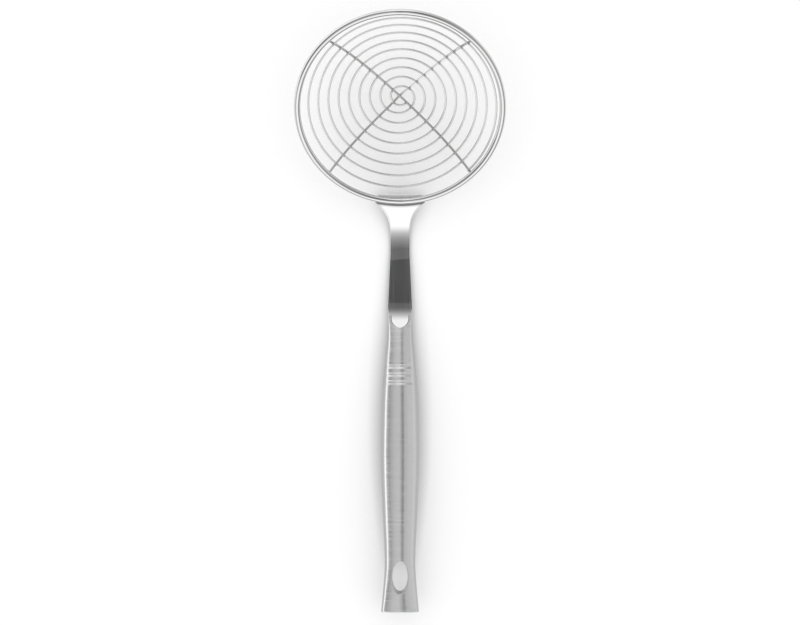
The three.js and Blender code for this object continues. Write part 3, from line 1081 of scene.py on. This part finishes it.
def shellRows(side):
    beside = skin["besideGrooves"]
    marks = [handle["rear"], *skin["holeRows"], grooveMiddles[-1] - beside, grooveMiddles[0] + beside]
    marks += [scoopTip - skin["behindTip"], scoopTip] if side > 0 else [handleLength]
    rows = rowsBetween(marks, skin["spacings"])
    if side > 0:
        count = skin["scoopSteps"]
        return rows + [mixed(scoopTip, handleLength, (i / count) ** 2) for i in range(count + 1)]
    count = skin["noseSteps"]
    past = [handle["noseRound"] * sin(i / count * pi / 2) for i in range(count + 1)]
    return rows + [handleLength + reach for reach in past]


def ovalPoint(angle, outside, side):
    short = hole["backShort"] if side < 0 else 0
    a, b = hole["width"] / 2, (hole["length"] - short) / 2
    normal = Vector((cos(angle) / a, sin(angle) / b)).normalized()
    x = a * cos(angle) + outside * normal.x
    return x, hole["fromEnd"] + short / 2 + b * sin(angle) + outside * normal.y


# Rings from the patch's outline in to the lip that rolls down into the hole
def holePatch(side, outline):
    a, b = hole["width"] / 2, hole["length"] / 2
    angles = [atan2((y - hole["fromEnd"]) / b, x / a) for x, y in outline]
    lip = hole["lipRound"]
    flatRings, lipRings = skin["flatRings"], skin["lipRings"]
    points = []
    for i in range(flatRings + 1):
        u = 1 - (1 - i / flatRings) ** 2
        for (x, y), angle in zip(outline, angles):
            ox, oy = ovalPoint(angle, lip, side)
            px, py = mixed(x, ox, u), mixed(y, oy, u)
            points.append((px, py, shellHeight(px, py, side)))
    for i in range(1, lipRings + 2):
        outside, drop = rolled(lip, min(i / lipRings, 1))
        if i > lipRings:
            drop += hole["lipDepth"]
        for angle in angles:
            px, py = ovalPoint(angle, outside, side)
            points.append((px, py, shellHeight(px, py, side) - side * drop))
    return points, tubeFaces(flatRings + lipRings + 2, len(outline))


def underStrip(y, height):  # where the back shell's nose starts, beneath the strip
    if y <= handleLength:
        return 0
    covered = stripUnder - handle["noseOverlap"] - handle["seam"]
    return asin(covered / (height - handle["seam"]))


def shellSkin(side):
    rows, columns, holeColumn = shellRows(side), skin["sideSteps"], skin["holeColumn"]
    holeFrom, holeTo = skin["holeRows"]
    points, faces, places = [], [], {}
    for mirror in (1, -1):
        first = len(points)
        for r, y in enumerate(rows):
            half, height = shellSize(y, side)
            top = scoopAngle(y) if side > 0 else pi / 2
            low = underStrip(y, height) if side < 0 else 0
            for k in range(columns + 1):
                angle = mixed(low, top, k / columns)
                x = mirror * half * cos(angle)
                z = side * mixed(handle["seam"], height, sin(angle))
                points.append((x, y, z))
                places[mirror, r, k] = (x, y)
        for r in range(len(rows) - 1):
            for k in range(columns):
                inPatch = holeFrom <= rows[r] and rows[r + 1] <= holeTo and k >= holeColumn
                if not inPatch:
                    a = first + r * (columns + 1) + k
                    faces.append((a, a + 1, a + columns + 2, a + columns + 1))
    low, high = rows.index(holeFrom), rows.index(holeTo)
    inward, back = range(holeColumn, columns), range(columns, holeColumn, -1)
    outline = [places[1, r, holeColumn] for r in range(low, high)]
    outline += [places[1, high, k] for k in inward] + [places[-1, high, k] for k in back]
    outline += [places[-1, r, holeColumn] for r in range(high, low, -1)]
    outline += [places[-1, low, k] for k in inward] + [places[1, low, k] for k in back]
    patchPoints, patchFaces = holePatch(side, outline)
    faces += [tuple(len(points) + k for k in face) for face in patchFaces]
    return points + patchPoints, faces


def makeShell(name, side, node):
    points, faces = shellSkin(side)
    piece = meshPiece(name, points, faces, satinMaterial, Vector((0, 0, side)))
    wall = piece.modifiers.new("wall", "SOLIDIFY")
    wall.thickness = handle["wall"] * mm
    wall.offset = -1
    wall.use_even_offset = True
    mesh = plainMesh(piece)
    mesh.set_sharp_from_angle(angle=sheetCrease)
    markUpright(mesh)
    settle(piece, "satin_steel", node)


makeShell("handle_front", 1, "handle_front_shell")
makeShell("handle_back", -1, "handle_back_shell")


# Sleeve through the hang hole, between the lips of the two shells
def makeSleeve():
    sides, count = hole["sleeveSides"], hole["sleeveSteps"]
    lip = hole["lipRound"] + hole["lipDepth"] + hole["sleeveGap"]
    walls = (0, hole["sleeveWall"])
    points = []
    for i in range(sides):
        angle = 2 * pi * i / sides
        wallEnds = []
        for side in (1, -1):
            height = shellHeight(*ovalPoint(angle, 0, side), side) - side * lip
            wallEnds.append([Vector((*ovalPoint(angle, outside, side), height)) for outside in walls])
        (frontIn, frontOut), (backIn, backOut) = wallEnds
        points += [frontIn.lerp(backIn, k / count) for k in range(count + 1)]
        points += [backOut.lerp(frontOut, k / count) for k in range(count + 1)]
    faces = tubeFaces(sides, 2 * (count + 1), looped=True)
    piece = meshPiece("hang_hole", points, faces, sleeveMaterial)
    settle(piece, "satin_steel", "hang_hole_sleeve")


makeSleeve()

# End plate, with its edge rounded over
plate = {
    "front": 1.72,
    "edgeRound": 0.7,
    "frontRing": 1.5,  # how far in each flat face has a ring, which keeps its shading flat
    "rearRing": 0.05,
    "squareFrom": 0.9,  # how squarely a face looks along the handle to count as a flat one
    "roundSteps": 10,
    "sides": 104,
}


def makeEndPlate():
    rings = [(plate["front"], plate["frontRing"]), (plate["front"], 0)]
    edge, sides, count = plate["edgeRound"], plate["sides"], plate["roundSteps"]
    rings += [rolled(edge, i / count) for i in range(count + 1)]
    rings.append((0, edge + plate["rearRing"]))
    points = []
    for y, inset in rings:
        for k in range(sides):
            angle = 2 * pi * k / sides
            height = (gripFront(y) if sin(angle) > 0 else gripBack(y)) - inset
            points.append(((gripHalf(y) - inset) * cos(angle), y, height * sin(angle)))
    faces = tubeFaces(len(rings), sides, capped=True)
    piece = meshPiece("end_plate", points, faces, satinMaterial)
    markUpright(piece.data)
    piece.data.materials.append(plateMaterial)
    for face in piece.data.polygons:
        if abs(face.normal.dot(along)) > plate["squareFrom"]:
            face.material_index = 1
    settle(piece, "satin_steel", "end_cap")


makeEndPlate()
print("handle done")

# Neck: a flat strip from the lip inside the rim, round the bend, into the scoop on the handle's front
shoulder = handleLength + neck["shoulderGap"]
bendTangent = neck["bendRadius"] * tan(tilt / 2)
headRun = neck["rise"] - bendTangent
bendLength = neck["bendRadius"] * tilt
flatRun = bendCorner - bendTangent - shoulder
neckEnd = headRun + bendLength + flatRun


def neckPlace(distance):  # y, z and lean of the strip's middle, by the way from the rim
    turned = tilt - min(max((distance - headRun) / neck["bendRadius"], 0), tilt)
    y = bendCorner + bendTangent * cos(tilt)
    z = bendTangent * sin(tilt) - neck["drop"]
    if distance <= headRun:
        up = headRun - distance
        return y + up * cos(tilt), z + up * sin(tilt), tilt
    y -= neck["bendRadius"] * (sin(tilt) - sin(turned))
    z -= neck["bendRadius"] * (cos(turned) - cos(tilt))
    return y - max(distance - headRun - bendLength, 0), z, turned


def neckFlare(distance):  # 1 at the rim, 0 where the flare ends
    return min(max(1 - (distance - neck["flareStart"]) / neck["flareLength"], 0), 1)


def neckHalf(distance):
    if distance < 0:
        u = -distance / neck["lip"]
        return mixed(neck["yokeWidth"], neck["lipWidth"], u) / 2
    flare = neckFlare(distance) ** neck["flareEase"]
    root = max((distance - neckEnd) / neck["taper"] + 1, 0)
    wider = flare * (neck["yokeWidth"] - neck["width"])
    wider += root * (neck["rootWidth"] - neck["width"])
    half = (neck["width"] + wider) / 2
    tuckLength, tuckDepth = neck["tuck"]
    u = max(1 - (neckEnd - distance) / tuckLength, 0)
    return half - tuckDepth * u * u * (3 - 2 * u)


neckGrid = {
    "endSteps": 6,  # rows round the end of the lip
    "endGap": 0.2,
    "spacings": (0.5, 0.5, 0.4, 1, 0.25),  # mm, on the lip, flare, bend, flat and scoop
    "tongueSteps": 40,
    "tongueEdge": 0.02,
    "tipHalf": 0.01,
    "cornerSteps": 9,
    "flatSteps": 10,
    "nearEdge": 0.008,  # a first step on the flat, which keeps its shading flat
}


# The strip's section: flat above and below, with edges that roll off
def stripOutline(half, low, top, wide, high):
    cornerSteps, flatSteps, nearEdge = (neckGrid[key] for key in ("cornerSteps", "flatSteps", "nearEdge"))
    wide = min(wide, half)
    high = min(high, (top - low) / 2)
    corners = ((half - wide, top - high, 0), (wide - half, top - high, 90),
               (wide - half, low + high, 180), (half - wide, low + high, 270))
    outline = []
    for i, (x, z, turn) in enumerate(corners):
        for k in range(cornerSteps + 1):
            angle = radians(turn + 90 * k / cornerSteps)
            outline.append((x + wide * cos(angle), z + high * sin(angle)))
        if i % 2 == 0:
            x0, z0 = outline[-1]
            x1 = corners[i + 1][0]
            shares = [nearEdge] + [k / flatSteps for k in range(1, flatSteps)] + [1 - nearEdge]
            outline += [(mixed(x0, x1, share), z0) for share in shares]
    return outline


def makeNeck():
    rows = []
    thick, edge = neck["thickness"] / 2, neck["edgeRound"]
    for i in range(neckGrid["endSteps"], -1, -1):  # rounded end of the lip
        ahead, inset = rolled(edge, i / neckGrid["endSteps"])
        distance = ahead - neck["lip"]
        y, z, turned = neckPlace(distance)
        half = neckHalf(distance) - inset
        rows.append((y, z, turned, half, -thick + inset, thick - inset, edge - inset, edge - inset))
    lipFrom = -neck["lip"] + edge + neckGrid["endGap"]
    scoopFrom = neckEnd - (scoopStart - shoulder)
    marks = (lipFrom, 0, headRun, headRun + bendLength, scoopFrom, neckEnd)
    for distance in rowsBetween(marks, neckGrid["spacings"]) + [neckEnd]:
        y, z, turned = neckPlace(distance)
        top = scoopHeight(y) + neck["drop"] if distance > scoopFrom else thick
        flare = neckFlare(abs(distance))
        wide, high = (mixed(edge, size, flare) for size in neck["flareRound"])
        rows.append((y, z, turned, neckHalf(distance), -thick, top, wide, high))
    count, edge = neckGrid["tongueSteps"], neckGrid["tongueEdge"]
    for i in range(count + 1):  # tongue of the scoop, up to its tip on the handle's front
        y = mixed(scoopTip, handleLength, (1 - i / count) ** 2)
        top = scoopHeight(y) + neck["drop"]
        half = max(scoopHalf(y) - neck["fit"], neckGrid["tipHalf"])
        rows.append((y, -neck["drop"], 0, half, -thick, top, edge, edge))
    points = []
    for y, z, turned, half, low, top, wide, high in rows:
        for x, lift in stripOutline(half, low, top, wide, high):
            points.append((x, y - lift * sin(turned), z + lift * cos(turned)))
    faces = tubeFaces(len(rows), len(points) // len(rows), capped=True)
    piece = meshPiece("neck", points, faces, polishedMaterial)
    settle(piece, "polished_steel", "neck_strip")


makeNeck()
print("neck done")
